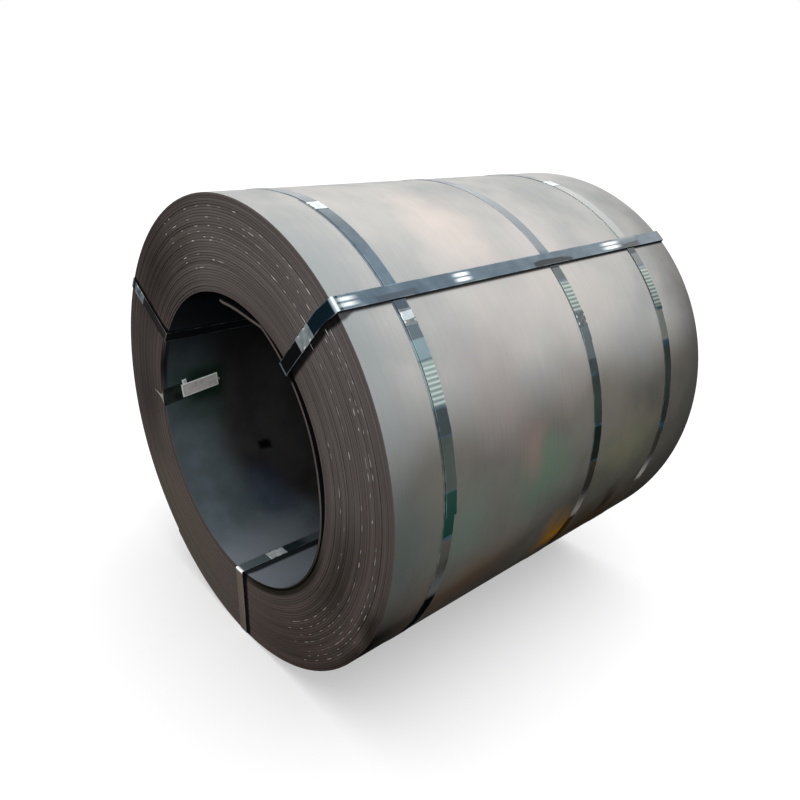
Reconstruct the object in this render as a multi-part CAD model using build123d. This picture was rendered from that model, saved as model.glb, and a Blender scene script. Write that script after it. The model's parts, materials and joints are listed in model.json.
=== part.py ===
from build123d import *
import math
import os

# A hot-rolled steel coil lying on its side, strapped for transport.
# X runs along the bore, from the near end at -X to the far end at +X, and +Z is up.
# The origin is on the bore's axis, halfway along the strip's width. Sizes are in millimetres.
# Places round the coil are clock angles, in degrees clockwise from the top,
# seen from the near end.

# The strip and how it is wound
strip_width = 1170.0
strip_thickness = 6.0
turn_count = 36
bore_diameter = 762.0
turn_edge_bevel = 0.5
winding_wander = 1.6
inner_slide = 4.0
inner_slide_turns = 2.5

# The steel strapping, which is the same stock all over the coil
strap_width = 31.75
strap_thickness = 0.8
strap_gap = 0.15
fold_radius = 1.0

# Belly bands go round the coil, and each place is measured from the near end
belly_places = {"near": 145.0, "middle": 652.0, "far": 995.0}

# Eye straps go through the bore, and the lift is how far one stands off the belly bands
eye_clocks = {"right": 42.0, "bottom": 179.0, "left": 303.0}
eye_lifts = {"right": 3.0, "bottom": 0.2, "left": 3.0}

# Folded sheet seals
seal_thickness = 0.5
seal_side_gap = 0.15
seal_top_gap = 0.2
eye_seal_length = 57.0
belly_seal_length = 36.0
right_seal_from_rim = 115.0
left_seal_from_rim = 45.0
bore_seal_from_end = 124.0
belly_seal_clocks = {
    "near_lower": ("near", 48.0),
    "near_upper": ("near", 16.0),
    "middle": ("middle", 57.0),
    "far": ("far", 14.0),
}

# The label and the flexible backing strip that holds it on the bore's wall
label_clock = 273.7
label_tilt = 7.0
backing_length = 190.0
backing_width = 52.0
backing_thickness = 0.5
backing_gap = 0.15
hook_width = 16.0
hook_length = 34.0
label_length = 122.0
label_width = 42.0
label_thickness = 0.3
label_gap = 0.3
label_from_end = 120.0
label_tab_side = 18.0

bore_radius = bore_diameter / 2
coil_radius = bore_radius + turn_count * strip_thickness
half_strip = strip_width / 2
half_strap = strap_width / 2


def turn_shift(turn):
    """How far one turn has slid towards the far end, because no coil is wound quite true."""
    wander = winding_wander * (0.6 * math.sin(1.9 * turn) + 0.4 * math.sin(0.83 * turn + 1.0))
    return wander + inner_slide * math.exp(-turn / inner_slide_turns)


turn_shifts = [turn_shift(turn) for turn in range(turn_count)]
near_face = min(turn_shifts) - half_strip
far_face = max(turn_shifts) + half_strip


def at_clock(shape, clock):
    """Turn a shape that was made at the top of the coil round the bore's axis."""
    return Rot(X=clock) * shape


def end_outline(side):
    """Outline of one end of the coil from the bore outwards, with a bevelled edge on each turn."""
    points = []
    for turn, shift in enumerate(turn_shifts):
        inner = bore_radius + turn * strip_thickness
        outer = inner + strip_thickness
        end = shift + side * half_strip
        back = end - side * turn_edge_bevel
        points += [(back, inner), (end, inner + turn_edge_bevel)]
        points += [(end, outer - turn_edge_bevel), (back, outer)]
    return points


def make_coil():
    """The wound strip as one turned solid, with every turn's edge showing on both ends."""
    outline = end_outline(-1) + end_outline(1)[::-1]
    section = make_face(Polyline(*outline, close=True))
    return revolve(section, axis=Axis.X)


def ring_section(middle, width, inner, thickness):
    """A rectangle beside the X axis, to be turned about it."""
    return Pos(middle, inner + thickness / 2) * Rectangle(width, thickness)


belly_inner = coil_radius + strap_gap
belly_outer = belly_inner + strap_thickness


def make_belly_band(place):
    """A closed steel band round the coil's outside."""
    section = ring_section(place - half_strip, strap_width, belly_inner, strap_thickness)
    return revolve(section, axis=Axis.X)


def make_belly_seal(place, clock):
    """A sheet seal folded over a belly band: a cap along the band, with a lip down each side."""
    middle = place - half_strip
    cap_width = strap_width + 2 * (seal_side_gap + seal_thickness)
    lips = strap_width + 2 * seal_side_gap
    inside = strap_thickness + seal_top_gap
    section = ring_section(middle, cap_width, belly_inner, inside + seal_thickness)
    section -= ring_section(middle, lips, belly_inner, inside)
    span = math.degrees(belly_seal_length / belly_outer)
    seal = revolve(section, axis=Axis.X, revolution_arc=span)
    # The section is made in the XY plane, on the side that faces +Y, a quarter turn from the top.
    return Rot(X=clock + 90 - span / 2) * seal


# The run of an eye strap along the bore lies flat, so its long edges meet the curved wall first.
bore_run_back = math.sqrt(bore_radius**2 - (half_strap + seal_side_gap + seal_thickness) ** 2) - strap_gap
near_run_back = near_face - strap_gap
far_run_back = far_face + strap_gap


def loop_outline(low, high, left, right, radius):
    """A rounded rectangle in the XZ plane, given by its four sides."""
    middle = Pos((left + right) / 2, (low + high) / 2)
    return Plane.XZ * middle * RectangleRounded(right - left, high - low, radius)


def make_eye_strap(lift):
    """A strap folded tightly round the coil's wall, through the bore and back along the outside."""
    low, high = bore_run_back, belly_outer + lift
    inside = loop_outline(low, high, near_run_back, far_run_back, fold_radius)
    t = strap_thickness
    outside = loop_outline(low - t, high + t, near_run_back - t, far_run_back + t, fold_radius + t)
    return extrude(outside - inside, amount=half_strap, both=True)


def seal_over_strap():
    """A seal lying on a flat strap: length along X, the strap's back on Z = 0, its face up."""
    side = seal_side_gap + seal_thickness
    height = strap_thickness + seal_thickness
    lifted = Align.CENTER, Align.CENTER, Align.MIN
    cap = Box(eye_seal_length, strap_width + 2 * side, height, align=lifted)
    return cap - Box(eye_seal_length, strap_width + 2 * seal_side_gap, strap_thickness, align=lifted)


def make_face_seal(from_rim):
    """A seal on the near end's run of an eye strap."""
    place = coil_radius - from_rim
    return Pos(near_run_back, 0, place) * Rot(Y=-90) * seal_over_strap()


def make_bore_seal():
    """A seal on the run of an eye strap inside the bore."""
    return Pos(bore_seal_from_end - half_strip, 0, bore_run_back) * Rot(X=180) * seal_over_strap()


label_middle = label_from_end - half_strip
backing_outer = bore_radius - backing_gap
backing_inner = backing_outer - backing_thickness
label_outer = backing_inner - label_gap


def wall_patch(outer, thickness, length, width, along=0, across=0):
    """A thin patch that follows the bore's wall at the top, on a tilted line through the label's middle."""
    reach = 4 * (length + width)
    shell = Cylinder(outer, reach) - Cylinder(outer - thickness, reach)
    block = Rot(Z=-label_tilt) * Pos(along, across, outer) * Box(length, width, outer)
    return Pos(label_middle, 0, 0) * (Rot(Y=90) * shell & block)


def make_backing():
    """The strip behind the label, with a narrow hook bent over the coil's near end."""
    front = near_face - backing_gap - backing_thickness
    spare = backing_width * math.sin(math.radians(label_tilt))
    length = backing_length + spare
    back_of_middle = front + (backing_length - spare) / 2 - label_middle
    along = back_of_middle / math.cos(math.radians(label_tilt))
    strip = wall_patch(backing_outer, backing_thickness, length, backing_width, along)
    onwards = Align.MIN, Align.CENTER, Align.MIN
    strip &= Pos(front, 0, 0) * Box(2 * length, coil_radius, 2 * coil_radius, align=onwards)
    height = hook_length + backing_thickness
    hook = Box(backing_thickness, hook_width, height, align=onwards)
    around = (label_middle - front) * math.tan(math.radians(label_tilt))
    hook = at_clock(Pos(front, 0, backing_inner) * hook, -math.degrees(around / backing_inner))
    return (strip + hook).solid()


def make_label():
    """The blank label, with a small square tab on its upper edge."""
    plate = wall_patch(label_outer, label_thickness, label_length, label_width)
    back = (label_tab_side - label_length) / 2
    up = -(label_width + label_tab_side) / 2
    tab = wall_patch(label_outer, label_thickness, label_tab_side, label_tab_side, back, up)
    return (plate + tab).solid()


parts = {"coil": make_coil()}
for name, place in belly_places.items():
    parts[f"belly_band_{name}"] = make_belly_band(place)
for name, (band, clock) in belly_seal_clocks.items():
    parts[f"belly_seal_{name}"] = make_belly_seal(belly_places[band], clock)
for name, clock in eye_clocks.items():
    parts[f"eye_strap_{name}"] = at_clock(make_eye_strap(eye_lifts[name]), clock)
parts["eye_seal_right"] = at_clock(make_face_seal(right_seal_from_rim), eye_clocks["right"])
parts["eye_seal_left"] = at_clock(make_face_seal(left_seal_from_rim), eye_clocks["left"])
parts["eye_seal_bottom"] = at_clock(make_bore_seal(), eye_clocks["bottom"])
parts["label_backing"] = at_clock(make_backing(), label_clock)
parts["label_plate"] = at_clock(make_label(), label_clock)

os.makedirs("parts", exist_ok=True)
for node, shape in parts.items():
    export_step(shape, f"parts/{node}.step")
    box = shape.bounding_box()
    print(f"{node}: {box.size.X:.1f} x {box.size.Y:.1f} x {box.size.Z:.1f}, volume {shape.volume:.0f}")
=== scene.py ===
import json
import math

import bpy
import numpy as np
from mathutils import Euler, Matrix, Vector


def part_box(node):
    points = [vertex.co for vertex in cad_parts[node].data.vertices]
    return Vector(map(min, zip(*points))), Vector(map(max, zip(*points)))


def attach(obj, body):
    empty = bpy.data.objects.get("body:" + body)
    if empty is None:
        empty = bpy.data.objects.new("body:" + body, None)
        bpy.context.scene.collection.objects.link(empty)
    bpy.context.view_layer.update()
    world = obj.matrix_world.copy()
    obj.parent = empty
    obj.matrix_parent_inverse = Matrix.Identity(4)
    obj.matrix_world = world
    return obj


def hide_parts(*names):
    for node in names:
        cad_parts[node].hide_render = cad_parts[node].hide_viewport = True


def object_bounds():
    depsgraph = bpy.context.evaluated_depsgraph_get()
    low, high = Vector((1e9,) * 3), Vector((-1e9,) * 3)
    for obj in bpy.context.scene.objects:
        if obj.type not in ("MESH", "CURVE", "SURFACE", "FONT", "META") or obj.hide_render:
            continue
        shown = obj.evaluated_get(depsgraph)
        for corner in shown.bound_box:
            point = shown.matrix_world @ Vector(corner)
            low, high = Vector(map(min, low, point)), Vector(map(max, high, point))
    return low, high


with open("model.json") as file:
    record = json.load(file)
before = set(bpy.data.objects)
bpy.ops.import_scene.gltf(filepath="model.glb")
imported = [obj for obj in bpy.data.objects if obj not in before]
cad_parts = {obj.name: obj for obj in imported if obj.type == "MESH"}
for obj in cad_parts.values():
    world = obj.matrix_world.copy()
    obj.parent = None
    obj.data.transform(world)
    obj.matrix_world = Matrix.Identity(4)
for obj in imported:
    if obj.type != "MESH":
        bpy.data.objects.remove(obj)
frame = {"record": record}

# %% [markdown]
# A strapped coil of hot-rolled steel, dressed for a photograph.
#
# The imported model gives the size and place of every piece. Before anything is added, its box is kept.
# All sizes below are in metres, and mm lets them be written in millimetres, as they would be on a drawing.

mm = 0.001
cad_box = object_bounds()
print("box of the plain model:", [[round(v, 4) for v in corner] for corner in cad_box])

# %% [markdown]
# The sizes that the looks are built from. The ones that the frame knows are read from it: the
# places of the belly bands are the middles of their nodes, and the bore is the radius of the
# mount. Places round the coil are clock angles, in degrees clockwise from the top, seen from
# the near end.

# %% Sizes of the strip, the straps and the bore
strip_width = 1170 * mm
turn_count = 36
bore_radius = frame["record"]["mounts"][0]["dims"]["r_mm"] * mm
coil_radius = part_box("coil")[1].z
pitch = (coil_radius - bore_radius) / turn_count
near_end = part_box("coil")[0].x
strap_width = 31.75 * mm
strap_thickness = 0.8 * mm


def middle_of(node):
    low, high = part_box(node)
    return (low + high) / 2


print(f"bore {2 * bore_radius:.4f}, outside {2 * coil_radius:.4f}, one turn {pitch / mm:.3f} mm")


# %% [markdown]
# Formulas as nodes.
#
# Geometry Nodes and shader nodes share the same Math node. A chain of them is hard to read when
# it is wired by hand, so Term wraps a socket and lets Python's own signs add the nodes: a * b + c
# makes one Multiply and one Add. The same helper serves every tree in this file.

# %% A number in a node tree
class Term:
    """A socket that can be used in a formula."""

    def __init__(self, tree, socket):
        self.tree, self.socket = tree, socket

    def math(self, operation, *others):
        node = self.tree.nodes.new("ShaderNodeMath")
        node.operation = operation
        for socket, value in zip(node.inputs, (self, *others)):
            plug(self.tree, socket, value)
        return Term(self.tree, node.outputs[0])

    def __add__(self, other):
        return self.math("ADD", other)

    def __sub__(self, other):
        return self.math("SUBTRACT", other)

    def __mul__(self, other):
        return self.math("MULTIPLY", other)

    def __truediv__(self, other):
        return self.math("DIVIDE", other)

    def __rsub__(self, other):
        return self * -1 + other

    __radd__, __rmul__ = __add__, __mul__

    def between(self, low, high, to_low=0.0, to_high=1.0):
        """to_low below low, to_high above high, and a smooth change from one to the other."""
        node = self.tree.nodes.new("ShaderNodeMapRange")
        node.interpolation_type = "SMOOTHSTEP"
        for place, value in enumerate((self, low, high, to_low, to_high)):
            plug(self.tree, node.inputs[place], value)
        return Term(self.tree, node.outputs[0])

    def hump(self, middle, reach):
        """1 at the middle, and 0 from reach away on both sides."""
        return (self - middle).math("ABSOLUTE").between(0, reach, 1, 0)


def plug(tree, socket, value):
    """Wire a term or a socket to a socket, or set the socket to a plain value."""
    if isinstance(value, Term):
        tree.links.new(value.socket, socket)
    elif isinstance(value, bpy.types.NodeSocket):
        tree.links.new(value, socket)
    else:
        socket.default_value = value


def add(tree, kind, inputs=None, **settings):
    """Add a node, set it up, and wire or set its inputs by name or by place."""
    node = tree.nodes.new(kind)
    for name, value in settings.items():
        setattr(node, name, value)
    for name, value in (inputs or {}).items():
        plug(tree, node.inputs[name], value)
    return node


def made(tree, kind, inputs=None, **settings):
    """Add a node in the same way, and give its first output."""
    return add(tree, kind, inputs, **settings).outputs[0]


def vector(tree, x, y, z):
    return made(tree, "ShaderNodeCombineXYZ", {0: x, 1: y, 2: z})


def parts_of(tree, socket):
    """The three numbers of a vector."""
    parts = add(tree, "ShaderNodeSeparateXYZ", {0: socket})
    return [Term(tree, output) for output in parts.outputs]


# %% [markdown]
# The camera stands where the photographer did.
#
# Its place and its focal length were worked out from the outlines of the coil's two ends, so
# the render can be laid over the photograph. The photograph is cropped off-centre, which the
# shift repeats.

# %% Camera
def new_object(name, data):
    """Make an object and put it into the scene."""
    thing = bpy.data.objects.new(name, data)
    bpy.context.scene.collection.objects.link(thing)
    return thing


lens_data = bpy.data.cameras.new("camera")
lens_data.sensor_width = 36
lens_data.lens = 28.56
lens_data.shift_x = 0.1058
lens_data.shift_y = 0.0619
lens_data.clip_end = 50
camera = new_object("camera", lens_data)
camera.location = (-1.2890, -1.2737, 0.7114)
camera.rotation_euler = Euler((math.radians(63.40), 0, math.radians(-37.43)))
bpy.context.scene.camera = camera
print(f"camera at {tuple(camera.location)}, {lens_data.lens} mm lens")


# %% [markdown]
# Shader trees.
#
# A finish starts as a Principled shader. Values that are the same all over go straight onto its
# sockets, and what varies is wired to it as a tree. The object coordinates of every piece are
# the coil's own axes, so the distance along the coil, the radius and the clock angle all come
# from them, and a stain stays where it is on the steel whichever way the camera looks.

# %% Start a finish
def wire(tree, shader, **values):
    """Wire or set sockets by name, with _ for a space."""
    for label, value in values.items():
        plug(tree, shader.inputs[label.replace("_", " ")], value)


def empty_tree(owner):
    """The tree of a material or a world, with nothing in it yet."""
    owner.use_nodes = True
    owner.node_tree.nodes.clear()
    return owner.node_tree


def new_finish(name, **values):
    """A material with one Principled shader, whose plain values are set by socket name."""
    material = bpy.data.materials.new(name)
    tree = empty_tree(material)
    shader = tree.nodes.new("ShaderNodeBsdfPrincipled")
    wire(tree, shader, **values)
    add(tree, "ShaderNodeOutputMaterial", {"Surface": shader.outputs[0]})
    return material, tree, shader


def told(material):
    """Say how large a finish has become, and hand it on."""
    print(f"{material.name}: {len(material.node_tree.nodes)} nodes")
    return material


def stored(tree, name):
    """A number that the mesh carries at each of its points."""
    return Term(tree, add(tree, "ShaderNodeAttribute", attribute_name=name).outputs["Fac"])


def coil_place(tree):
    """Where a point is on the coil: its vector, distance from the near end, radius and clock."""
    place = add(tree, "ShaderNodeTexCoord").outputs["Object"]
    x, y, z = parts_of(tree, place)
    radius = (y * y + z * z).math("SQRT")
    clock = (y * -1).math("ARCTAN2", z) * math.degrees(1)
    return place, x - near_end, radius, clock


def noise(tree, place, scale, detail=3.0, roughness=0.55):
    """Soft random values round 0.5, with scale in waves per metre, or one for each axis."""
    if isinstance(scale, tuple):
        place = made(tree, "ShaderNodeVectorMath", {0: place, 1: scale}, operation="MULTIPLY")
        scale = 1.0
    inputs = {"Vector": place, "Scale": scale, "Detail": detail, "Roughness": roughness}
    return Term(tree, made(tree, "ShaderNodeTexNoise", inputs))


# %% [markdown]
# Colours in coats.
#
# Colours are written as a screen shows them, because that is how they are compared with the
# photograph, and turned into the linear values that light is worked out with. A finish is then
# built like paint: a cloudy pair of tones, and coats over it that each cover a share.

# %% Colours
black, white = (0, 0, 0, 1), (1, 1, 1, 1)


def seen_as(red, green, blue):
    """A colour as a screen shows it, from 0 to 255, as the linear colour that shaders use."""
    return (*(((v / 255 + 0.055) / 1.055) ** 2.4 for v in (red, green, blue)), 1)


def blend(tree, share, first, second):
    """first where share is 0, second where it is 1."""
    node = add(tree, "ShaderNodeMix", {0: share}, data_type="RGBA")
    plug(tree, node.inputs[6], first)
    plug(tree, node.inputs[7], second)
    return node.outputs[2]


def two_tone(tree, clouds, dark, light, low=0.3):
    """Two tones, mixed by a cloudy noise."""
    return blend(tree, clouds.between(low, 0.7), seen_as(*dark), seen_as(*light))


def coats(tree, colour, *layers):
    """Lay coats over a colour, each given by its share and its tint."""
    for share, tint in layers:
        colour = blend(tree, share, colour, seen_as(*tint))
    return colour


def emboss(tree, shader, height, depth):
    """Bump from a height that runs from 0 to 1, over a depth in metres."""
    wire(tree, shader, Normal=made(tree, "ShaderNodeBump", {"Height": height, "Distance": depth}))


# %% [markdown]
# Mill scale, dust and stains, with painted sheen and shade.
#
# Hot-rolled strip is covered by a thin skin of oxide. Bare, it is a dark blue-grey, satin and a little
# cloudy, with fine streaks in the rolling direction, which here runs round the coil. The upper side is
# painted paler down to about clock 65, partly as dust and partly as a painted sheen of the light from
# above. Below that the bare scale shows, and towards the foot it is painted darker as shade, and browner.
#
# Stains are soft patches. Each has a place along the coil in millimetres from the near end, a
# clock angle, a reach both ways, a colour and a strength. A table of patches is easier to tune
# against a photograph than a painted texture, and it needs no picture file.

# %% Stains on the outside of the coil
# Among these stains, the pale rose and warm patches high on the coil are painted sheen, and the dark patch
# at the foot by the near rim is painted shade.
STAINS = {
    "cool near rim": (0, 50, 130, 54, (136, 143, 145), 0.75),
    "cool near rim, foot": (20, 90, 140, 20, (74, 88, 83), 0.8),
    "shade at the foot by the near rim": (0, 117, 180, 28, (27, 24, 20), 0.95),
    "pale rose sheen, upper": (420, 28, 150, 20, (222, 206, 198), 0.6),
    "pale rose sheen, lower": (640, 34, 190, 22, (208, 200, 196), 0.5),
    "warm sheen, middle": (560, 50, 380, 18, (196, 190, 186), 0.7),
    "green shade, near": (210, 92, 130, 16, (98, 122, 110), 0.6),
    "green shade, middle": (470, 88, 190, 13, (90, 118, 98), 0.75),
    "rose-grey, near": (320, 66, 150, 20, (154, 142, 142), 0.5),
    "rose-grey, middle": (560, 68, 120, 12, (150, 140, 134), 0.4),
    "olive shade, far": (820, 92, 220, 13, (134, 134, 110), 0.7),
    "red-brown blush": (420, 80, 70, 9, (150, 122, 116), 0.5),
    "brown foot, near": (260, 110, 260, 13, (112, 90, 72), 0.8),
    "brown foot, far": (860, 118, 380, 16, (88, 68, 46), 0.9),
    "amber by the middle band": (622, 111, 90, 11, (196, 136, 20), 0.95),
    "black thumb mark": (852, 109, 46, 7, (52, 44, 36), 0.8),
    "dull far rim": (1190, 76, 200, 80, (84, 82, 79), 0.9),
}


# %% [markdown]
# Laying the stains.
#
# A patch with a clean round edge looks like a sticker. One slow noise pushes all the edges in
# and out, so that they run ragged. A low softness gives a patch a flat middle and a firmer edge.

# %% Lay stains over a colour
stray_along = 90 * mm
stray_round = 14


def stained(tree, colour, stains, along, clock, place, softness=1.0):
    """Lay a table of patches over a colour. A softness of 1 has no flat middle."""
    ragged = noise(tree, place, 7, 2.0) - 0.5
    firm = 1 - softness
    for where, at, reach, spread, tint, share in stains.values():
        aside = (along - where * mm + ragged * (stray_along * softness)).math("ABSOLUTE")
        turned = (clock - at + ragged * (stray_round * softness)).math("WRAP", 180.0, -180.0)
        patch = aside.between(reach * mm * firm, reach * mm, 1, 0)
        patch = patch * turned.math("ABSOLUTE").between(spread * firm, spread, 1, 0)
        colour = blend(tree, patch * share, colour, seen_as(*tint))
    return colour


rolling_streaks = (230, 8, 8)
dust_and_sheen_ends = (58, 78)


def outside_colour(tree, place, along, clock):
    """Dust and a painted sheen over the scale, and the stains."""
    clouds = noise(tree, place, 5, 3.0)
    scale = two_tone(tree, clouds, (93, 91, 86), (112, 108, 101))
    dust_and_sheen = two_tone(tree, clouds, (160, 162, 161), (182, 180, 177))
    # Painted sheen with dust: the upper side is paler down to a clock angle between 58 and 78.
    settled = (clock.math("ABSOLUTE") + (clouds - 0.5) * 14).between(*dust_and_sheen_ends, 1, 0)
    colour = blend(tree, settled, scale, dust_and_sheen)
    colour = stained(tree, colour, STAINS, along, clock, place)
    streaks = noise(tree, place, rolling_streaks, 4.0)
    return blend(tree, streaks.between(0.35, 0.75, 0, 0.05), colour, black)


# %% [markdown]
# The coil's two ends.
#
# On the ends one sees the strip's edges, packed side by side: brown oxide, with a tone of its
# own for each turn and a dark gap where two turns don't quite touch. The number of the turn
# comes from the radius. A noise that gets that number along one axis and the place along the
# others jumps from ring to ring, but changes slowly round a ring. In this table a place is a
# radius.

# %% Rings on the ends
RIM_STAINS = {
    "pale, upper right": (540, 40, 180, 60, (138, 130, 128), 0.9),
    "purple-brown top": (500, 2, 200, 46, (132, 124, 121), 0.8),
    "dark upper left": (500, -46, 230, 44, (70, 62, 60), 0.9),
    "dark left": (500, -90, 220, 44, (66, 60, 59), 0.85),
    "green-brown, lower left": (520, -140, 200, 45, (110, 101, 88), 0.6),
    "dark brown foot": (560, 150, 220, 50, (84, 72, 64), 0.7),
    "grey-brown right": (430, 78, 90, 40, (130, 122, 119), 0.7),
    "darker, lower right": (460, 112, 90, 34, (74, 66, 62), 0.8),
    "dark outer turns, lower right": (600, 120, 50, 32, (48, 42, 38), 0.85),
}
lower_right_clock = 142
hook_side = -73


def rings_show(clock):
    """The rings on the coil's end show plainly at the top and right, and faintly at the left."""
    return clock.between(-90, -35, 0.2, 1.0) * clock.between(150, 175, 1.0, 0.3)


def rim_colour(tree, place, radius, clock):
    """The strip's edges, seen as rings: brown oxide, its own tone for each turn, dark gaps, and painted
    shade by the bore.
    """
    _, y, z = parts_of(tree, place)
    layer = (radius - bore_radius) / pitch
    whole = layer.math("FLOOR")

    def ringed(step, stretch, detail=1.0, roughness=0.55):
        """Noise that changes slowly round a ring, and quickly from ring to ring."""
        return noise(tree, vector(tree, step, y * stretch, z * stretch), 1.0, detail, roughness)

    shown = rings_show(clock)
    tone = ringed(whole * 3.7, 2.0).between(0.35, 0.65, 0.22, 0)
    fine = ringed(radius * 900, 1.2, 3.0, 0.7).between(0.3, 0.7, 0.12, 0)
    gap = (layer - whole - 0.5).math("ABSOLUTE").between(0.3, 0.48)
    gap = gap * ringed(whole * 5.3, 2.5).between(0.42, 0.62)
    colour = stained(tree, seen_as(112, 102, 98), RIM_STAINS, radius, clock, place)
    for dark in (fine, tone * shown, gap * shown * 0.5):
        colour = blend(tree, dark, colour, black)
    # Painted shade: the innermost turn at the lower right and the turns beside the hook are painted black,
    # in the gaps by the tongue and the hook. A band of turns a little further out at the lower right is
    # darker.
    lower_right = (clock - lower_right_clock).math("ABSOLUTE").between(22, 44, 1, 0)
    by_the_hook = layer.between(1.5, 3.5, 0.9, 0) * clock.hump(hook_side, 20)
    shaded = (layer.hump(0.9, 0.7) * lower_right).math("MAXIMUM", by_the_hook)
    dark_band = layer.between(2.5, 4.5, 0.9, 0) * lower_right
    return coats(tree, colour, (dark_band, (46, 44, 34)), (shaded, (5, 5, 5)))


# %% [markdown]
# The wall of the bore.
#
# Little light gets in, and the lamps give part of the shade. The rest is painted. Near the mouth, and
# further in along the bottom, the wall is paler, partly as dust and partly as painted light that falls in
# there. The top, the part behind the tongue, the edge of the lit part and the lip at the left are painted
# dark as shade.

# %% Inside the bore
# Of these patches, the dusty bottom is partly painted light, and the black top, the part behind the tongue
# and the blue shade are painted shade.
BORE_STAINS = {
    "dust and light on the bottom": (80, 166, 300, 44, (116, 122, 129), 0.7),
    "painted shade at the top": (500, 0, 1100, 108, (11, 13, 16), 0.97),
    "green shade by the label": (110, -90, 130, 20, (26, 44, 34), 0.5),
    "dark green round the label": (142, -87, 80, 11, (3, 27, 14), 0.8),
    "painted shade behind the tongue": (600, 75, 1300, 80, (10, 10, 11), 0.95),
    "blue shade": (250, -148, 90, 20, (44, 52, 74), 0.5),
    "oval smudge": (312, -122.4, 36, 3.4, (4, 3, 3), 1.0),
}


def bore_colour(tree, place, along, clock):
    """Dust and painted light near the mouth, bare scale further in, and the stains, some of them painted
    shade.
    """
    clouds = noise(tree, place, 6, 3.0)
    # Painted light with dust: the wall is paler near the mouth, and this reaches further in along the
    # bottom, where light falls in.
    dusty = two_tone(tree, clouds, (66, 75, 79), (84, 95, 101))
    bare = two_tone(tree, clouds, (38, 36, 36), (54, 50, 48))
    dust_and_light_reach = clock.math("ABSOLUTE").between(115, 175, 90 * mm, 330 * mm)
    colour = blend(tree, (along - dust_and_light_reach).between(0, 130 * mm, 0, 0.92), dusty, bare)
    colour = stained(tree, colour, BORE_STAINS, along, clock, place, softness=0.6)
    # Painted shadow just inside the mouth at the left, by the hook.
    shade_at_the_lip = along.between(10 * mm, 22 * mm, 0.9, 0) * clock.hump(hook_side + 1, 22)
    return coats(tree, colour, (shade_at_the_lip, (8, 7, 8)))


# %% [markdown]
# Painted shadows beside the straps.
#
# Beside one long edge of each eye strap, a narrow dark line is painted as its shadow. These lines are
# thinner than a ragged patch can be, so they are measured straight from the strap's edge.

# %% Painted shadow lines
strap_top = 601 * mm
skew_reach = 60 * mm
# Each painted shadow line follows one long edge of an eye strap: the strap's clock, the side of it, how
# far the strap strays at its near and far ends, and how wide the line is on the coil's end and from there
# on.
STRAP_SHADOW_LINES = {
    "under the right strap": (42, 1, -10, 12, 20, 6),
    "beside the bottom strap": (179, -1, 0, 0, 22, 28),
    "before the bottom strap": (179, 1, 0, 0, 3, 3),
    "over the left strap": (-57, 1, 0, 4, 12, 6),
}


def beside_straps(along, radius, clock):
    """1 in the narrow painted shadow beside an eye strap's edge."""
    total = None
    for at, side, stray_near, stray_far, at_end, further in STRAP_SHADOW_LINES.values():
        angle = (clock - at) * math.radians(1)
        stray = (along / strip_width) * ((stray_far - stray_near) * mm) + stray_near * mm
        stray = stray * radius.between(strap_top - skew_reach, strap_top)
        across = (radius * angle.math("SINE") + stray) * side
        fade = 18 * mm + along.between(1 * mm, 40 * mm, at_end * mm, further * mm)
        line = across.between(12 * mm, 15 * mm) * across.between(fade * 0.75, fade, 1, 0)
        line = line * angle.math("COSINE").between(0.5, 0.9)
        total = line if total is None else total.math("MAXIMUM", line)
    return total


# %% [markdown]
# The coil's finish.
#
# The mesh carries an "edge" value, which is 1 on the strip's edges and 0 on its faces. It
# chooses between the rings and the skin. The radius then tells the outside from the bore.
# The scale is satin: it only shines a little where it is seen head-on.

# %% Finish of the strip
mid_wall = (0.42, 0.45)


def make_coil_steel():
    material, tree, shader = new_finish("coil_steel")
    place, along, radius, clock = coil_place(tree)
    edge = stored(tree, "edge")
    inside = radius.between(*mid_wall, 1, 0)
    outer_skin = outside_colour(tree, place, along, clock)
    skin = blend(tree, inside, outer_skin, bore_colour(tree, place, along, clock))
    # Painted shade: the strip's faces between the turns, which show where a turn has slid, are dark.
    buried = radius.between(bore_radius + 2 * mm, bore_radius + 4 * mm)
    buried = buried * radius.between(coil_radius - 4 * mm, coil_radius - 2 * mm, 1, 0)
    shade_between_turns = blend(tree, rings_show(clock), seen_as(44, 40, 38), seen_as(22, 20, 20))
    skin = blend(tree, buried, skin, shade_between_turns)
    colour = blend(tree, edge, skin, rim_colour(tree, place, radius, clock))
    # Painted shadows beside the eye straps.
    strap_shadow = beside_straps(along, radius, clock)
    colour = coats(tree, colour, (strap_shadow * 0.94, (10, 12, 14)))
    streaks = noise(tree, place, rolling_streaks, 3.0)
    roughness = 0.5 + (streaks - 0.5) * 0.2 + edge * 0.15
    facing = Term(tree, add(tree, "ShaderNodeLayerWeight", {0: 0.5}).outputs["Facing"])
    satin = facing.between(0.3, 0.7, 0.2, 0.0) * (1 - edge) * (1 - inside * 0.8)
    wire(tree, shader, Base_Color=colour, Roughness=roughness, Specular_IOR_Level=satin)
    emboss(tree, shader, noise(tree, place, 520, 2.0) * 0.4 + streaks * 0.6, 0.04 * mm)
    return told(material)


coil_steel = make_coil_steel()
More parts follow.
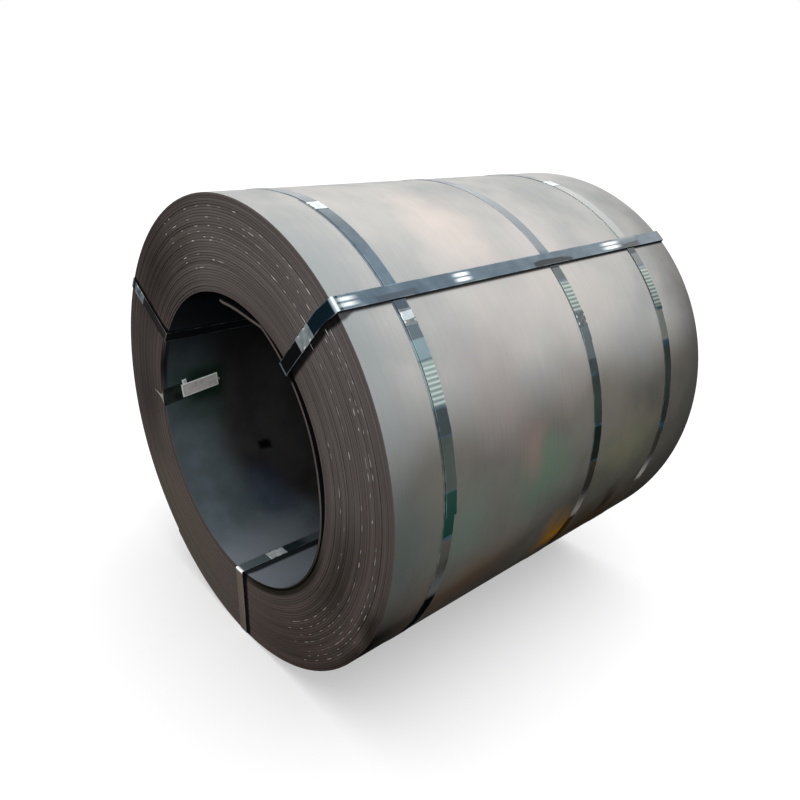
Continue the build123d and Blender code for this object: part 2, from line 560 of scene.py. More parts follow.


# %% [markdown]
# Strapping and seals.
#
# Steel strapping is blued and waxed: dark blue-grey and half glossy. Its edges are rubbed bright, and its
# folds are painted bright, partly as wear and partly as a highlight. The belly bands have a history along
# them, from the top down: dark bare steel beside the seals, the ridged print of the tensioner's wheel with
# painted highlights on its crests, and wax that has gone green and brown lower down. Just under the right
# strap the bands carry its painted shadow, and the near band's foot is painted dark as shade. It is
# written as one more table of patches, by band and clock.

# %% Tones of the strapping
# In this table, the patches just under the right strap are its painted shadow on the bands, and the near
# band's foot is painted shade.
STRAP_TONES = {
    "near band, bare": (150, 45.0, 60, 2.2, (60, 68, 77), 0.9),
    "near band, past the seal": (150, 50.8, 60, 1.6, (78, 88, 94), 0.9),
    "near band, waxy": (150, 54.4, 60, 2.2, (112, 130, 134), 0.8),
    "near band, wheel print": (150, 61.0, 60, 4.6, (112, 126, 124), 0.85),
    "near band, notched": (150, 68.2, 60, 2.6, (60, 68, 70), 0.9),
    "near band, olive": (150, 76.0, 60, 5.4, (70, 74, 64), 0.8),
    "near band, green": (150, 86.0, 60, 5.2, (32, 58, 48), 0.9),
    "near band, brown": (150, 97.0, 60, 6.0, (88, 84, 76), 0.85),
    "near band, shade at the foot": (150, 116.0, 70, 14.0, (9, 9, 6), 0.97),
    "middle band, upper": (655, 24.0, 80, 17.0, (112, 119, 122), 0.75),
    "middle band, shadow of the strap": (655, 43.2, 80, 1.3, (6, 10, 11), 0.9),
    "middle band, bare": (655, 46.0, 80, 1.6, (72, 80, 80), 0.9),
    "middle band, wheel print": (655, 51.8, 80, 4.2, (92, 103, 99), 0.85),
    "middle band, grey": (655, 62.0, 80, 4.6, (100, 108, 108), 0.8),
    "middle band, dark": (655, 67.6, 80, 1.8, (70, 78, 76), 0.8),
    "middle band, olive": (655, 75.6, 80, 6.2, (62, 68, 62), 0.9),
    "middle band, green": (655, 86.0, 80, 4.6, (34, 52, 40), 0.9),
    "middle band, brown": (652, 97.0, 90, 6.6, (84, 76, 62), 0.9),
    "middle band, amber": (640, 111.0, 90, 10.0, (74, 50, 9), 0.95),
    "far band, upper": (995, 24.0, 60, 17.0, (146, 148, 144), 0.85),
    "far band, shadow of the strap": (995, 43.0, 60, 1.8, (24, 27, 29), 0.9),
    "far band, bare": (995, 46.0, 60, 1.8, (92, 96, 96), 0.9),
    "far band, wheel print": (995, 53.6, 60, 5.8, (96, 102, 96), 0.8),
    "far band, grey": (995, 63.6, 60, 4.2, (124, 127, 120), 0.9),
    "far band, olive": (995, 79.0, 60, 11.0, (74, 76, 70), 0.9),
    "far band, brown": (995, 105.0, 60, 15.0, (98, 92, 76), 0.9),
    "right strap, teal at the rim": (-4, 45.0, 20, 12.0, (14, 27, 33), 0.95),
    "left strap, dusty": (-4, -57.0, 20, 12.0, (76, 69, 66), 0.95),
    "bottom strap, dusty": (-4, 180.0, 20, 20.0, (134, 123, 115), 0.95),
}


# %% [markdown]
# Wear and painted highlights on the straps.
#
# Where a strap folds over the coil's end it is painted bright, partly as wear and partly as a highlight.
# The bottom strap's fold at the bore's edge carries a painted glint, and a few painted glints lie along
# the right strap's outer run.
# Low on the coil and on the near end it mirrors the dark yard instead of the sky, which a dark
# Specular Tint gives at shallow angles. In the bore it is dull, since nothing bright is there
# to mirror.

# %% Finish of the strapping
# Painted glints on the right strap: distance from the near end, reach and strength.
GLINT_SPOTS = {32: (32, 0.45), 342: (34, 0.9), 917: (56, 0.9)}
fold_reach = 9 * mm
inner_fold = 366 * mm
bottom_fold = 380 * mm
bore_run = (384 * mm, 388 * mm)
dark_edge = (0.12, 0.14, 0.16, 1)


def from_fold(along, radius, fold_radius):
    """1 on a fold at the near end, and 0 from fold_reach away."""
    up = radius - fold_radius
    return (along * along + up * up).math("SQRT").between(fold_reach * 0.2, fold_reach, 1, 0)


def dulled(low, along, start, end):
    """1 on the near end's face, and on the coil's side from the clock angle end downwards."""
    return low.between(start, end).math("MAXIMUM", along.between(0, 3 * mm, 1, 0))


def strap_tones(tree, place, along, clock, wax):
    """Blued steel with its history, in coats."""
    colour = two_tone(tree, wax, (66, 80, 90), (80, 95, 106))
    colour = coats(tree, colour, (clock.between(-60, -15, 0.8, 0), (52, 60, 66)))
    colour = stained(tree, colour, STRAP_TONES, along, clock, place, softness=0.15)
    # Painted highlights on the crests of the tensioner wheel's ridges.
    return coats(tree, colour, (stored(tree, "ridge") * 0.55, (182, 195, 189)))


def strap_in_bore(tree, along, low):
    """The bottom strap's run: grey-blue at the mouth, dark past the seal, and grey-blue again. The other
    runs are painted black as shade.
    """
    return coats(
        tree, seen_as(80, 88, 92),
        (along.between(98 * mm, 150 * mm), (28, 34, 38)),
        (along.between(200 * mm, 250 * mm), (76, 84, 88)),
        # Painted shade: the right and left straps' runs in the bore are black.
        (low.between(140, 160, 1, 0), (8, 11, 12)),
    )


def glint_spots(along, radius, clock, side):
    """Painted glints: two stripes along the right strap's outer run, in a few places."""
    stripe = (side - 6 * mm).math("ABSOLUTE").between(2 * mm, 6 * mm, 1, 0)
    on_right = stripe * clock.hump(42, 6).between(0, 0.1) * radius.between(0.59, 0.6)
    for at, (reach, share) in GLINT_SPOTS.items():
        yield along.hump(at * mm, reach * mm) * on_right * share, (250, 254, 252)


def make_strap_steel():
    material, tree, shader = new_finish("strap_steel")
    place, along, radius, clock = coil_place(tree)
    low = clock.math("ABSOLUTE")
    side = stored(tree, "side").math("ABSOLUTE")
    wax = noise(tree, place, 22, 2.0)
    inside = radius.between(*bore_run, 1, 0) * along.between(0, 2 * mm)
    waxy = low.between(98, 108) * along.between(0, 3 * mm) * (1 - inside)
    rub = side.between(strap_width / 2 - 2 * mm, strap_width / 2 - 0.6 * mm)
    folds = from_fold(along, radius, coil_radius + 3 * mm)
    folds = folds.math("MAXIMUM", from_fold(along, radius, inner_fold) * 0.4)
    # Painted highlight and wear: the folds are bright, and so are the rubbed edges in places.
    wear_and_highlight = folds.math("MAXIMUM", rub * wax.between(0.4, 0.6, 0.05, 0.3)) * 0.8
    foot = radius.between(0.46, 0.5, 1, 0) * along.between(0, 4 * mm, 1, 0) * clock.hump(42, 30)
    glint = from_fold(along, radius, bottom_fold) * low.between(140, 160)
    colour = strap_tones(tree, place, along, clock, wax)
    colour = blend(tree, inside * 0.9, colour, strap_in_bore(tree, along, low))
    colour = coats(tree, colour, (foot * 0.9, (20, 19, 21)), (wear_and_highlight, (176, 192, 200)))
    colour = coats(tree, colour, (glint, (253, 254, 254)), *glint_spots(along, radius, clock, side))
    wire(
        tree, shader,
        Base_Color=colour,
        Metallic=(1 - waxy) * (1 - inside) * 0.92,
        Specular_IOR_Level=(1 - waxy) * (0.5 - inside * 0.4),
        Specular_Tint=blend(tree, dulled(low, along, 46, 62), white, dark_edge),
        Roughness=wax.between(0.3, 0.7, 0.2, 0.27) + wear_and_highlight * 0.1,
    )
    emboss(tree, shader, noise(tree, place, 130), 0.02 * mm)
    return told(material)


# %% [markdown]
# Zinc on the seals.
#
# The seals are plated, so they are brighter than the strapping and a little cloudy. Where the sealer's
# jaws bit, the mesh carries a "bite" value, and the bent zinc there is painted bright as a highlight.

# %% Finish of the seals
SEAL_TONES = {
    "near lower, dull": (150, 48.0, 50, 4.0, (64, 70, 74), 0.85),
    "near lower, bright": (150, 47.3, 50, 0.9, (170, 180, 184), 0.8),
    "middle, dull": (655, 57.0, 60, 4.0, (60, 66, 66), 0.85),
}


def make_seal_steel():
    material, tree, shader = new_finish("seal_steel")
    place, along, radius, clock = coil_place(tree)
    out_of_bore = radius.between(0.38, 0.4)
    # Painted reflection: low on the coil and on the near end, a dark Specular Tint makes the zinc mirror
    # the dark yard instead of the sky.
    dull = dulled(clock.math("ABSOLUTE"), along, 20, 50) * out_of_bore
    zinc = noise(tree, place, 70, 3.0)
    grey = two_tone(tree, zinc, (92, 98, 100), (128, 135, 137))
    bright = two_tone(tree, zinc, (168, 178, 180), (214, 220, 220))
    colour = blend(tree, radius.between(0.592, 0.597), grey, bright)
    colour = blend(tree, out_of_bore, bright, colour)
    colour = stained(tree, colour, SEAL_TONES, along, clock, place, softness=0.3)
    # Painted highlight on the bent metal where the jaws bit.
    colour = coats(tree, colour, (stored(tree, "bite") * 0.8, (226, 230, 230)))
    wire(
        tree, shader,
        Base_Color=colour,
        Metallic=radius.between(0.38, 0.4, 0.25, 0.92),
        Specular_Tint=blend(tree, dull, white, dark_edge),
        Roughness=zinc.between(0.3, 0.7, 0.25, 0.4),
    )
    emboss(tree, shader, zinc, 0.03 * mm)
    return told(material)


strap_steel = make_strap_steel()
seal_steel = make_seal_steel()


# %% [markdown]
# Growing pieces with Geometry Nodes.
#
# What follows a path is swept by Geometry Nodes: the wound strip, the belly bands and the eye
# straps. Each tree is built here with its sizes as named inputs. The inputs are set by the
# identifiers of their sockets before the object is first evaluated, and the result is kept as
# a plain mesh, so that the finished piece carries no modifier.

# %% Grow a piece from a tree
KINDS = {float: "NodeSocketFloat", int: "NodeSocketInt"}


def new_tree(name, sizes):
    """A geometry tree with one named input for each size, which come back as terms."""
    tree = bpy.data.node_groups.new(name, "GeometryNodeTree")
    tree.interface.new_socket(name="Piece", in_out="OUTPUT", socket_type="NodeSocketGeometry")
    for label, value in sizes.items():
        tree.interface.new_socket(name=label, in_out="INPUT", socket_type=KINDS[type(value)])
    inputs = tree.nodes.new("NodeGroupInput")
    return tree, {label: Term(tree, inputs.outputs[label]) for label in sizes}


def end_tree(tree, geometry, material):
    """Realize what the tree made, give it its material and send it out."""
    real = add(tree, "GeometryNodeRealizeInstances", {"Geometry": geometry})
    dressed = add(tree, "GeometryNodeSetMaterial", {"Geometry": real.outputs[0], "Material": material})
    add(tree, "NodeGroupOutput", {"Piece": dressed.outputs[0]})


def grow(name, tree, sizes):
    """Run a tree with these sizes, and keep the result as a plain mesh."""
    piece = new_object(name, bpy.data.meshes.new(name))
    modifier = piece.modifiers.new(name, "NODES")
    modifier.node_group = tree
    for item in tree.interface.items_tree:
        if item.in_out == "INPUT":
            modifier[item.identifier] = sizes[item.name]
    evaluated = piece.evaluated_get(bpy.context.evaluated_depsgraph_get())
    mesh = bpy.data.meshes.new_from_object(evaluated)
    piece.modifiers.remove(modifier)
    piece.data = mesh
    mesh.name = name
    return piece


def finish_piece(piece, slot, *nodes, sharp=30):
    """Shade a piece, let it ride with the coil, and say what it stands for."""
    piece.data.shade_smooth()
    piece.data.set_sharp_from_angle(angle=math.radians(sharp))
    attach(piece, "root")
    if nodes:
        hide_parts(*nodes)
    faces = len(piece.data.polygons)
    print(f"{piece.name}: {faces} faces, stands for {', '.join(nodes) or 'no node'}")


def along_line(tree, steps):
    """A straight line of points, and each point's share of the way along it."""
    line = add(tree, "GeometryNodeCurvePrimitiveLine")
    path = add(tree, "GeometryNodeResampleCurve", {"Curve": line.outputs[0], "Count": steps})
    return path.outputs[0], Term(tree, add(tree, "GeometryNodeSplineParameter").outputs["Factor"])


def bend_path(tree, path, place, across):
    """Move the points of a path to their places. across is the way a section's width points."""
    moved = add(tree, "GeometryNodeSetPosition", {"Geometry": path, "Position": place})
    inputs = {"Curve": moved.outputs[0], "Normal": across}
    return made(tree, "GeometryNodeSetCurveNormal", inputs, mode="FREE")


def position_of(tree):
    """The three coordinates of each point."""
    return parts_of(tree, made(tree, "GeometryNodeInputPosition"))


def mark(tree, geometry, name, value):
    """Keep a number at each point, for the finish to use."""
    inputs = {"Geometry": geometry, "Name": name, "Value": value}
    return made(tree, "GeometryNodeStoreNamedAttribute", inputs)


def flat_section(tree, width, thickness, rounding, corner_points):
    """A flat bar's section with rounded edges."""
    inputs = {"Width": width, "Height": thickness}
    box = made(tree, "GeometryNodeCurvePrimitiveQuadrilateral", inputs)
    inputs = {"Curve": box, "Count": corner_points, "Radius": rounding}
    return made(tree, "GeometryNodeFilletCurve", inputs, mode="POLY")


def sweep(tree, path, section):
    inputs = {"Curve": path, "Profile Curve": section, "Fill Caps": True}
    return made(tree, "GeometryNodeCurveToMesh", inputs)


def round_the_coil(tree, x, radius, clock):
    """The place at a distance along the axis, a radius and a clock angle."""
    angle = clock * math.radians(1)
    return vector(tree, x, radius * angle.math("SINE") * -1, radius * angle.math("COSINE"))


# %% [markdown]
# The wound strip.
#
# The real coil is one strip, wound about 36 times. Each turn lies level on the one below, and
# climbs a layer where it passes over the strip's first end. So the path isn't a plain spiral: a
# staircase formula keeps every turn round and level, with one short climb in each. The outside
# then stays a true circle of the right size, and the tail ends low on the far left, out of the
# camera's sight. Each turn has slid a little along the axis, which gives both ends their rings.

# %% The path of the strip
tip_clock = -2.0
tail_clock = 220.0
turns = 35 + (tail_clock - tip_clock) / 360
level_share = 0.847
climb_drift = 0.23
strip_thickness = 5.85 * mm
edge_rounding = 0.12 * mm
slack = 0.06 * mm


def slide_of(turn):
    """How far a turn has slid along the coil: a slow wander, and more in the first few turns."""
    waves = 0.6 * (turn * 1.9).math("SINE") + 0.4 * (turn * 0.83 + 1.0).math("SINE")
    return waves * (0.7 * mm) + (turn / -2.5).math("EXPONENT") * (4 * mm)


def layer_of(turn):
    """How many layers lie under a turn. The climb drifts round the coil from turn to turn."""
    stage = turn + turn * (climb_drift / turns)
    whole = stage.math("FLOOR")
    return whole + (stage - whole).between(level_share, turn.between(0, turns, 1.0, 0.96))


# %% [markdown]
# The first end of the strip has sprung off the bore's wall.
#
# The mandrel that the coil was wound on is gone, so the free end of the innermost turn stands inwards like
# a tongue, with a kink where it was bent. A Float Curve with a few listed points gives how far it stands
# off, against the degrees from its tip.

# %% The sprung tongue
TONGUE = (
    (0, 17), (8, 20.5), (27, 7), (38, 13), (52, 18), (66, 21),
    (80, 21.5), (94, 16.5), (108, 9), (122, 4), (138, 1), (154, 0),
)
tongue_kink = 27
tongue_reach = 160
tongue_height = 25
sag_depth = 4 * mm
sag_turns = 8


def tongue_of(turn):
    """How far the innermost turn stands off the bore's wall, towards the axis."""
    tree = turn.tree
    node = add(tree, "ShaderNodeFloatCurve", {"Value": turn * (360 / tongue_reach)})
    curve = node.mapping.curves[0]
    while len(curve.points) < len(TONGUE):
        curve.points.new(0.5, 0.5)
    for point, (degrees, height) in zip(curve.points, TONGUE):
        point.location = (degrees / tongue_reach, height / tongue_height)
        if degrees == tongue_kink:
            point.handle_type = "VECTOR"
    node.mapping.update()
    return Term(tree, node.outputs[0]) * (tongue_height * mm)


def inner_sag(turn):
    """The next turns, no longer held up by the tongue, have settled towards the axis there."""
    before = turn.between(0.85, 1.0)
    share = turn - turn.math("FLOOR")
    free = share.between(0.25, 0.38, 1, 0).math("MAXIMUM", share.between(level_share, 1.0))
    fading = ((1.0 - turn) / sag_turns).math("EXPONENT")
    return before * free * fading * sag_depth


def make_strip_tree(sizes):
    tree, size = new_tree("wound strip", sizes)
    path, share = along_line(tree, size["Steps"])
    turn = share * size["Turns"]
    loose = (turn * 2.3).math("SINE") * slack
    radius = size["Bore radius"] + size["Pitch"] * (layer_of(turn) + 0.5)
    radius = radius + loose - tongue_of(turn) - inner_sag(turn)
    place = round_the_coil(tree, slide_of(turn), radius, turn * 360 + tip_clock)
    path = bend_path(tree, path, place, (1, 0, 0))
    section = flat_section(tree, size["Width"], size["Thickness"], edge_rounding, 2)
    from_edge = size["Width"] / 2 - position_of(tree)[0].math("ABSOLUTE")
    section = mark(tree, section, "edge", from_edge.between(0.05 * mm, edge_rounding, 1, 0))
    end_tree(tree, sweep(tree, path, section), coil_steel)
    return tree


# %% [markdown]
# Winding the strip.
#
# A turn of 160 short steps looks round, and 36 of them keep the whole strip light. The grown
# mesh stands for the plain coil, which is hidden when the dressed model is shown.

# %% Wind the strip
steps_per_turn = 160
strip_sizes = {
    "Turns": turns,
    "Steps": round(turns * steps_per_turn),
    "Bore radius": bore_radius,
    "Pitch": pitch,
    "Thickness": strip_thickness,
    "Width": strip_width,
}
wound_strip = grow("wound_strip", make_strip_tree(strip_sizes), strip_sizes)
finish_piece(wound_strip, "coil_steel", "coil", sharp=24)


# %% [markdown]
# A map for the strip's texture.
#
# When the model is exported, its finish is painted into one picture, and a UV map says which
# part of the picture each face gets. A blind unwrap would spend most of it on the faces between
# the turns, which nobody sees. So the outside and the bore are unrolled into two wide strips of
# the picture, the two ends are laid flat as discs, and all the hidden faces share one corner.

# %% Unwrap the strip
map_margin = 0.005
outside_band, bore_band = (map_margin, 0.42), (0.43, 0.60)
near_disc, far_disc = (0.19, 0.80), (0.58, 0.80)
disc_radius = 0.185
hidden_corner, hidden_size = (0.79, 0.62), (0.2, 0.36)


def read(items, label, width=1, kind=float):
    """One value of every item of a mesh, as an array."""
    values = np.empty(len(items) * width, kind)
    items.foreach_get(label, values)
    return values.reshape(-1, width) if width > 1 else values


def unwrap_strip(mesh):
    """Lay the outside, the bore and the two ends out flat, each in its own part of the map."""
    face = np.repeat(np.arange(len(mesh.polygons)), read(mesh.polygons, "loop_total", kind=int))
    corners = read(mesh.loops, "vertex_index", kind=int)
    x, y, z = read(mesh.vertices, "co", 3)[corners].T
    centre, normal = read(mesh.polygons, "center", 3), read(mesh.polygons, "normal", 3)
    centre_turn = np.arctan2(-centre[:, 1], centre[:, 2]) / math.tau + 0.5
    turn = np.arctan2(-y, z) / math.tau + 0.5
    turn -= np.round(turn - centre_turn[face])
    share = x / strip_width + 0.5
    radius = np.hypot(centre[:, 1], centre[:, 2])
    outwards = (normal[:, 1:] * centre[:, 1:]).sum(axis=1) > 0
    outside = (radius > coil_radius - 3 * mm) & outwards
    bore = (radius < bore_radius + 8 * mm) & ~outwards
    u = hidden_corner[0] + turn * hidden_size[0]
    v = hidden_corner[1] + share * hidden_size[1]
    for chosen, (low, high) in ((outside, outside_band), (bore, bore_band)):
        here = chosen[face]
        u[here] = map_margin + turn[here] * (1 - 2 * map_margin)
        v[here] = low + share[here] * (high - low)
    for chosen, disc in ((normal[:, 0] < -0.5, near_disc), (normal[:, 0] > 0.5, far_disc)):
        here = chosen[face]
        u[here] = disc[0] - y[here] / coil_radius * disc_radius
        v[here] = disc[1] + z[here] / coil_radius * disc_radius
    layer = mesh.uv_layers.new(name="OFBake")
    layer.data.foreach_set("uv", np.column_stack([u, v]).ravel())
    print(f"unwrapped: {outside.sum()} outside faces, {bore.sum()} in the bore, {len(normal)} in all")


unwrap_strip(wound_strip.data)


# %% [markdown]
# Nicks in the strip's edge.
#
# Handling has nicked the near end: short bright burrs, in rows that follow a few of the turns.
# Each row is given by the turn that it is on, the clock angles where it starts and ends, and
# how much of it is full. A nick's place along the strip decides its radius and its distance
# along the coil, by the same formulas as the strip's own path, so it sits right on the edge.

# %% Rows of nicks
NICK_ROWS = (
    (29, 12, 68, 0.9), (29, 98, 146, 0.8),
    (27, -32, 22, 0.5), (27, 45, 78, 1.1), (27, 88, 144, 0.9),
    (25, 6, 86, 0.9), (25, 112, 138, 0.5),
    (20, -8, 42, 0.8), (20, 82, 107, 0.9), (20, 110, 146, 0.8),
    (31, 118, 150, 0.6), (23, 120, 152, 0.7), (22, -30, -4, 0.5), (17, 112, 152, 0.8),
    (17, 38, 72, 0.9), (14, -27, -7, 0.5), (14, 124, 150, 0.8),
    (11, 90, 108, 0.7), (9, -17, -9, 0.5), (9, 79, 91, 0.6), (7, 68, 74, 0.5),
    (31, -30, 10, 0.6), (24, -28, 6, 0.6), (19, -24, 0, 0.5), (12, -20, 10, 0.4),
)
nick_spacing = 36 * mm


def random_share(tree, seed):
    """A random number from 0 to 1 for each point."""
    node = add(tree, "FunctionNodeRandomValue", {"Seed": seed}, data_type="FLOAT")
    return Term(tree, [output for output in node.outputs if output.enabled][0])


def make_nick_tree(sizes):
    """One row: points at random places of its stretch, with a lens-shaped burr on each."""
    tree, size = new_tree("row of nicks", sizes)
    points = made(tree, "GeometryNodePoints", {"Count": size["Count"]})
    index = Term(tree, made(tree, "GeometryNodeInputIndex"))
    early, aside, long = (random_share(tree, size["Seed"] + draw) for draw in range(3))
    clock = size["From"] + (index + early * 0.8) * (size["To"] - size["From"]) / size["Count"]
    turn = (clock - tip_clock) / 360 + size["Turn"]
    radius = size["Bore radius"] + size["Pitch"] * (layer_of(turn) + 0.44 + aside * 0.12)
    place = round_the_coil(tree, slide_of(turn) - size["Width"] / 2, radius, clock)
    placed = made(tree, "GeometryNodeSetPosition", {"Geometry": points, "Position": place})
    burr = made(tree, "GeometryNodeMeshIcoSphere", {"Radius": 1.0, "Subdivisions": 2})
    half_length = size["Length"] * (long * long * 0.6 + 0.2)
    inputs = {
        "Points": placed,
        "Instance": burr,
        "Rotation": vector(tree, clock * math.radians(1), 0.0, 0.0),
        "Scale": vector(tree, size["Stand"], half_length, size["Thickness"] * (aside * 0.5 + 0.25)),
    }
    end_tree(tree, made(tree, "GeometryNodeInstanceOnPoints", inputs), nick_steel)
    return tree


# %% [markdown]
# Matt finishes.
#
# Three finishes only differ in their numbers: the bare steel of the nicks, and later the label's
# paper and its backing. Each is a cloudy pair of tones with one coat over it, and a matt grain.

# %% A matt finish
def matt_finish(
    name, tones, coat, tint,
    cloud=(40, 3.0), low=0.4, rough=(0.4, 0.6), specular=0.3, grain=90, grain_depth=0.1 * mm,
):
    """Two cloudy tones and a coat, whose share comes from a function of the point's place."""
    material, tree, shader = new_finish(name, Specular_IOR_Level=specular)
    place, along, _, clock = coil_place(tree)
    clouds = noise(tree, place, *cloud)
    colour = coats(tree, two_tone(tree, clouds, *tones, low), (coat(tree, along, clock), tint))
    wire(tree, shader, Base_Color=colour, Roughness=clouds.between(0.3, 0.7, *rough))
    emboss(tree, shader, noise(tree, place, grain), grain_depth)
    return told(material)


nick_steel = matt_finish(
    "nick_steel", ((160, 156, 154), (235, 232, 230)),
    lambda tree, along, clock: clock.between(92, 118) * 0.75, (142, 128, 124),
    cloud=(40, 2.0), low=0.3, specular=0.2, grain=300, grain_depth=0.05 * mm,
)

# %% [markdown]
# Growing the rows.
#
# One tree serves all the rows. Each run of it gets the row's own numbers and its own seed, so
# the same nicks come out every time. The rows are then joined into one piece.

# %% Grow the rows of nicks
nick_sizes = {
    "Turn": 0.0,
    "From": 0.0,
    "To": 0.0,
    "Count": 0,
    "Seed": 0,
    "Bore radius": bore_radius,
    "Pitch": pitch,
    "Width": strip_width,
    "Length": 19 * mm,
    "Thickness": 1.5 * mm,
    "Stand": 0.35 * mm,
}
nick_tree = make_nick_tree(nick_sizes)
nick_rows = []
for number, (turn, start, end, share) in enumerate(NICK_ROWS):
    arc = math.radians(end - start) * (bore_radius + turn * pitch)
    own = {"Turn": float(turn), "From": float(start), "To": float(end), "Seed": 10 * number}
    own["Count"] = max(2, round(share * arc / nick_spacing))
    nick_rows.append(grow("edge_nicks", nick_tree, nick_sizes | own))
bpy.ops.object.select_all(action="DESELECT")
for row in nick_rows:
    row.select_set(True)
bpy.context.view_layer.objects.active = nick_rows[0]
bpy.ops.object.join()
finish_piece(nick_rows[0], "coil_steel")


# %% [markdown]
# Belly bands.
#
# A band goes round the coil a little more than once: its upper end lies over its lower end,
# and a seal grips the two. The path is a circle that climbs by one thickness just before it
# comes round to its start. Near the seals the tensioner's wheel has left a row of shallow
# waves across the band, and these catch the light. A band that was pulled tight slightly
# askew swings a little to one side, as the middle one does.

# %% Belly bands
lap_gap = 0.15 * mm
climb_before_lap = 9.0
wave_length = 10 * mm
tail_drop, layer_climb = 9, 42


def coil_surface(clock):
    """The outside radius: just past the strip's tail it is one layer less, and then it climbs."""
    past = (clock + (720 - tail_clock)).math("MODULO", 360)
    dip = past.between(0, tail_drop) * past.between(0, layer_climb, 1, 0)
    return coil_radius - dip * pitch


def band_section(tree, width, thickness):
    """A strap's section: filleted edges, and how far each point is from the middle."""
    section = flat_section(tree, width, thickness, 0.25 * mm, 1)
    return mark(tree, section, "side", position_of(tree)[0])


def make_band_tree(sizes):
    tree, size = new_tree("belly band", sizes)
    path, share = along_line(tree, size["Steps"])
    sweep_angle = share * (size["Lap"] + 360)
    clock = size["Start"] + sweep_angle
    lapped = sweep_angle.between(360 - climb_before_lap, 359)
    step = size["Thickness"] + lap_gap
    swing = ((clock - size["Swing clock"]) * math.radians(1)).math("COSINE") * size["Swing"]
    x = size["Middle"] + swing + lapped * size["Side step"]
    run = (clock - size["Wave from"]) * (math.radians(1) * coil_radius / wave_length)
    wave = 0.5 - (run * math.tau).math("COSINE") * 0.5
    in_waves = clock.between(size["Wave from"], size["Wave from"] + 1)
    in_waves = in_waves * clock.between(size["Wave to"] - 1, size["Wave to"], 1, 0)
    ridge = wave * in_waves
    radius = coil_surface(clock) + size["Thickness"] / 2 + lapped * step + ridge * size["Wave height"]
    path = mark(tree, path, "ridge", ridge)
    path = bend_path(tree, path, round_the_coil(tree, x, radius, clock), (1, 0, 0))
    section = band_section(tree, size["Width"], size["Thickness"])
    end_tree(tree, sweep(tree, path, section), strap_steel)
    return tree


# %% [markdown]
# Three bands from one tree.
#
# The clock angles and the small shifts of each band were read off the photograph, and are kept
# in one table. Angles are in degrees and lengths in millimetres.

# %% Wind the belly bands
BANDS = {
    "near": {
        "Start": 12, "Lap": 74.5, "Shift": 0, "Side step": 5,
        "Swing": 0, "Swing clock": 0, "Wave from": 56.5, "Wave to": 65.5,
    },
    "middle": {
        "Start": 46, "Lap": 16, "Shift": 12, "Side step": 1,
        "Swing": 20, "Swing clock": 170, "Wave from": 47.5, "Wave to": 56,
    },
    "far": {
        "Start": 12, "Lap": 48, "Shift": 0, "Side step": 2,
        "Swing": 2, "Swing clock": 90, "Wave from": 48, "Wave to": 59.5,
    },
}
strap_sizes = {"Width": strap_width, "Thickness": strap_thickness}
band_steps = 2400
wave_height = 0.6 * mm


def band_place(name, clock):
    """The middle of a band's upper layer at a clock angle, along the coil."""
    own = BANDS[name]
    swing = own["Swing"] * math.cos(math.radians(clock - own["Swing clock"]))
    return middle_of("belly_band_" + name).x + (own["Shift"] + own["Side step"] + swing) * mm


band_tree = None
for name, own in BANDS.items():
    node = "belly_band_" + name
    sizes = strap_sizes | {"Steps": band_steps, "Wave height": wave_height}
    sizes |= {label: float(own[label]) for label in ("Start", "Lap", "Swing clock")}
    sizes |= {label: own[label] * mm for label in ("Swing", "Side step")}
    sizes |= {label: own[label] + 360.0 for label in ("Wave from", "Wave to")}
    sizes["Middle"] = middle_of(node).x + own["Shift"] * mm
    band_tree = band_tree or make_band_tree(sizes)
    finish_piece(grow(f"band_{name}", band_tree, sizes), "strap_steel", node)


# %% [markdown]
# Eye straps.
#
# An eye strap goes through the bore and back along the outside. Its path is a rounded rectangle
# in the plane of its clock angle. The outer run has been pulled over the belly bands, so it
# rises and dips, and a shallow crease runs along its middle.

# %% Eye straps
crease_depth = 0.3 * mm


def eye_section(tree, width, thickness):
    """A strap's section with a shallow groove along its middle."""
    section = band_section(tree, width, thickness)
    section = made(tree, "GeometryNodeSubdivideCurve", {"Curve": section, "Cuts": 9})
    groove = position_of(tree)[0].math("ABSOLUTE").between(0.5 * mm, 3 * mm, -crease_depth, 0.0)
    inputs = {"Geometry": section, "Offset": vector(tree, 0.0, groove, 0.0)}
    return made(tree, "GeometryNodeSetPosition", inputs)


def make_eye_tree(sizes):
    tree, size = new_tree("eye strap", sizes)
    inputs = {"Width": size["Far"] - size["Near"], "Height": size["High"] - size["Low"]}
    box = made(tree, "GeometryNodeCurvePrimitiveQuadrilateral", inputs)
    cut = made(tree, "GeometryNodeSubdivideCurve", {"Curve": box, "Cuts": size["Cuts"]})
    inputs = {"Curve": cut, "Count": 5, "Radius": size["Fold"]}
    path = made(tree, "GeometryNodeFilletCurve", inputs, mode="POLY")
    along, up, _ = position_of(tree)
    height = up + (size["Low"] + size["High"]) / 2
    outer = height.between(size["High"] - skew_reach, size["High"])
    reach = along / ((size["Far"] - size["Near"]) / 2)
    skew = size["Skew near"] * (0.5 - reach * 0.5) + size["Skew far"] * (reach * 0.5 + 0.5)
    on_top = height.between(size["High"] - 2 * mm, size["High"] - 1 * mm)
    lift = (1 - reach * reach) * size["Bow"] * on_top
    middle = (size["Far"] + size["Near"]) / 2
    path = bend_path(tree, path, vector(tree, along + middle, skew * outer, height + lift), (0, 1, 0))
    section = eye_section(tree, size["Width"], size["Thickness"])
    turned = vector(tree, size["Clock"] * math.radians(1), 0.0, 0.0)
    inputs = {"Geometry": sweep(tree, path, section), "Rotation": turned}
    end_tree(tree, made(tree, "GeometryNodeTransform", inputs), strap_steel)
    return tree


# %% [markdown]
# Three eye straps from one tree.
#
# Low and High are the radii of the strap's runs in the bore and on the outside. The right
# strap's run in the bore lies further in, because it goes under the sprung end of the strip.

